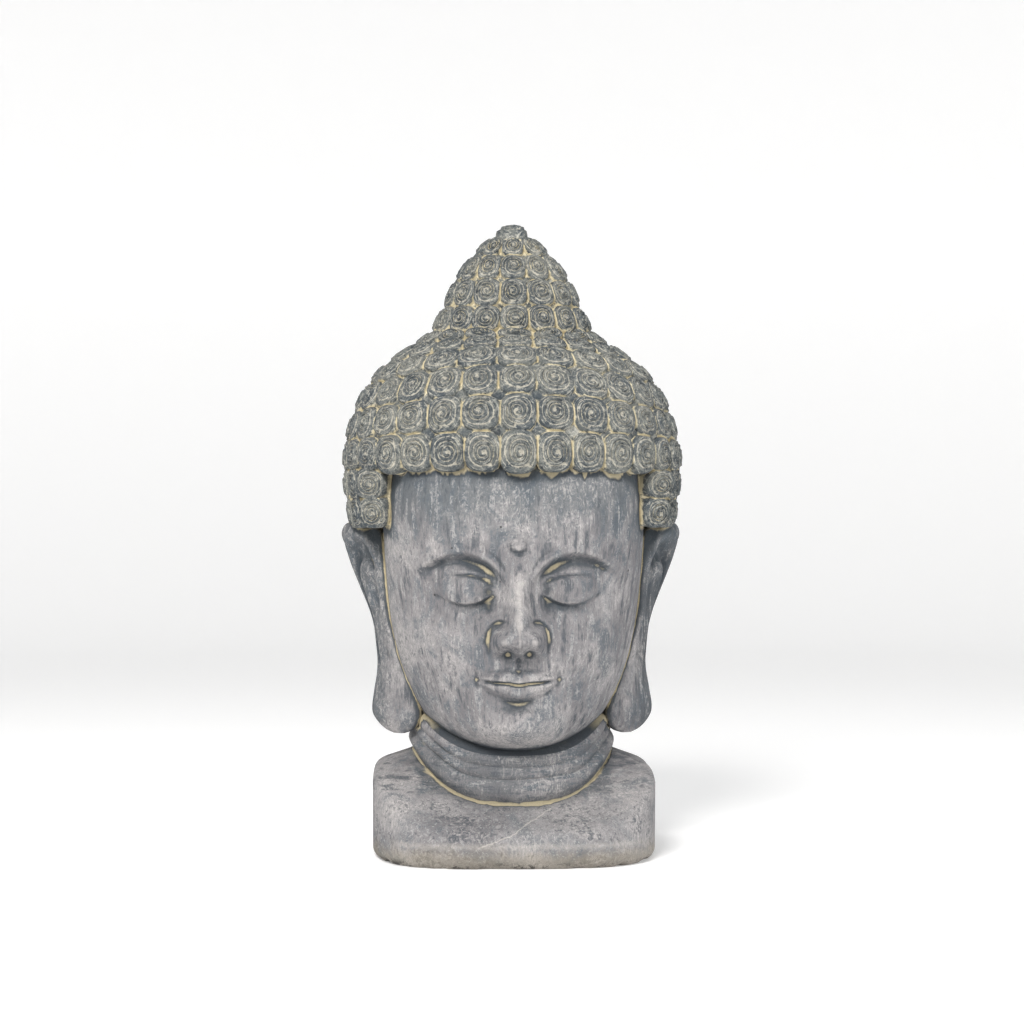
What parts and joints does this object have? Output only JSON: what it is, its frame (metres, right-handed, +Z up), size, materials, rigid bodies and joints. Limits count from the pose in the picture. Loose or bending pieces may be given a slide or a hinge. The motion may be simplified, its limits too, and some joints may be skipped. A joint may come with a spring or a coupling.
{
  "type": "buddha head statue",
  "caption": "Cast stone garden head with a calm face, snail-curl hair rising to a stepped crown, long ears, folded neck and a short flat-bottomed bust.",
  "frame": {"origin": "middle of the flat underside of the bust", "axes": "+Z up, the face looks along -Y, +X to the right as seen from the front"},
  "size_m": [0.257, 0.2666, 0.4699],
  "materials": {
    "cast_stone": "dry matt cast stone, mid grey with slate wash, pale brushed ridges and cream left in the joints"
  },
  "bodies": {
    "root": {"buddha_head": "cast_stone"}
  },
  "joints": []
}
